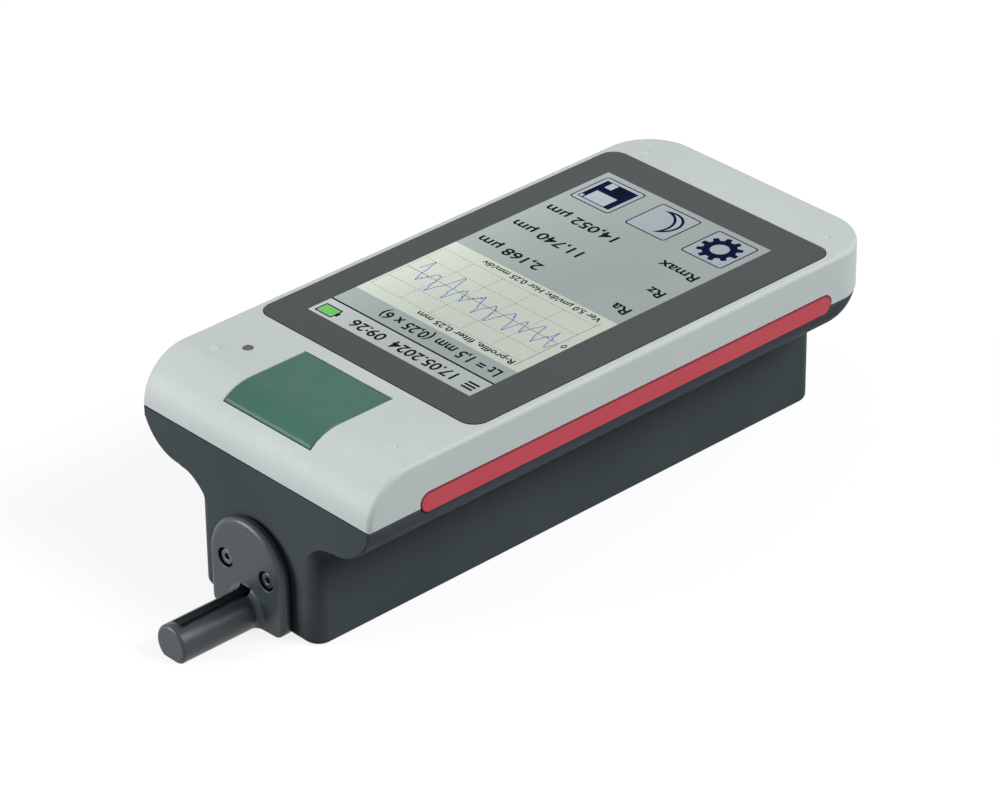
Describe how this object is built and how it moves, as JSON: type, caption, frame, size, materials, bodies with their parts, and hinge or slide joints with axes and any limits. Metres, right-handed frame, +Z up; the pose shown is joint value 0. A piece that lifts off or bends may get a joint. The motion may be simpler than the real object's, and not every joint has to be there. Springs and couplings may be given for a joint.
{
  "type": "surface roughness tester",
  "caption": "Handheld surface roughness tester with a touch display, start key, side strips and a stylus pick-up that a motor draws back through a slotted guard tube.",
  "frame": {"origin": "centre of the body's base, on the plane it stands on", "axes": "+Z up, away from the base; -Y towards the pick-up guard; +X to the right when looking along +Y"},
  "size_m": [0.0764, 0.1854, 0.0512],
  "materials": {
    "shell_grey": "satin",
    "anthracite": "satin",
    "touch_glass": "gloss",
    "display": "satin",
    "key_green": "matte",
    "strip_red": "satin",
    "lens_dark": "gloss",
    "guard": "satin",
    "steel": "satin",
    "black_steel": "satin",
    "aluminium": "satin",
    "brass": "satin",
    "board": "satin",
    "black_plastic": "matte",
    "battery": "satin",
    "tape": "matte",
    "copper": "satin",
    "ruby": "gloss",
    "diamond": "gloss"
  },
  "bodies": {
    "tester": {"top_shell": "shell_grey", "bottom_housing": "anthracite", "touch_glass": "touch_glass", "glass_tape": "tape", "display_panel": "display", "display_frame": "black_plastic", "main_board": "board", "board_spacers": "brass", "board_screws": "steel", "data_port": "steel", "key_switch": "black_plastic", "status_lens": "lens_dark", "strip_right": "strip_red", "strip_left": "strip_red", "pickup_guard": "guard", "guard_screws": "black_steel", "case_screws": "black_steel", "drive_frame": "aluminium", "drive_screws": "steel", "guide_rods": "steel", "screw_bushes": "brass", "drive_motor": "steel", "battery_pack": "battery", "battery_tape": "tape"},
    "key": {"start_key": "key_green", "switch_plunger": "black_plastic"},
    "traverser": {"carriage": "aluminium", "drive_nut": "brass", "float_pin": "steel", "float_spring": "steel"},
    "spindle": {"lead_screw": "steel", "spindle_gear": "brass"},
    "rotor": {"motor_shaft": "steel", "motor_pinion": "brass"},
    "pickup": {"pickup_body": "aluminium", "skid": "ruby", "sensing_coil": "copper", "stylus_pin": "steel"},
    "stylus": {"stylus_arm": "steel", "stylus_tip": "diamond"}
  },
  "joints": [
    {"name": "key_press", "type": "slide", "parent": "tester", "child": "key", "axis": [0, 0, -1], "range_m": [0, 0.0006], "stiffness_N_per_m": 3000},
    {"name": "traverse", "type": "slide", "parent": "tester", "child": "traverser", "axis": [0, 1, 0], "range_m": [0, 0.0175]},
    {"name": "spindle_turn", "type": "hinge", "parent": "tester", "child": "spindle", "pos_m": [0, -0.04, 0.019], "axis": [0, 1, 0], "range_deg": [-3151, 1]},
    {"name": "rotor_turn", "type": "hinge", "parent": "tester", "child": "rotor", "pos_m": [0.01, -0.005, 0.019], "axis": [0, 1, 0], "range_deg": [-1, 8102]},
    {"name": "pickup_float", "type": "hinge", "parent": "traverser", "child": "pickup", "pos_m": [0, -0.048, 0.00355], "axis": [1, 0, 0], "range_deg": [-0.4, 0.4], "stiffness_Nm_per_rad": 0.8},
    {"name": "stylus_lift", "type": "hinge", "parent": "pickup", "child": "stylus", "pos_m": [0, -0.083, 0.00355], "axis": [1, 0, 0], "range_deg": [-0.5, 0.5], "stiffness_Nm_per_rad": 0.01}
  ],
  "couplings": [
    {"joint": "spindle_turn", "follows": "traverse", "rad_per_m": -3141.6},
    {"joint": "rotor_turn", "follows": "traverse", "rad_per_m": 8078.4}
  ]
}
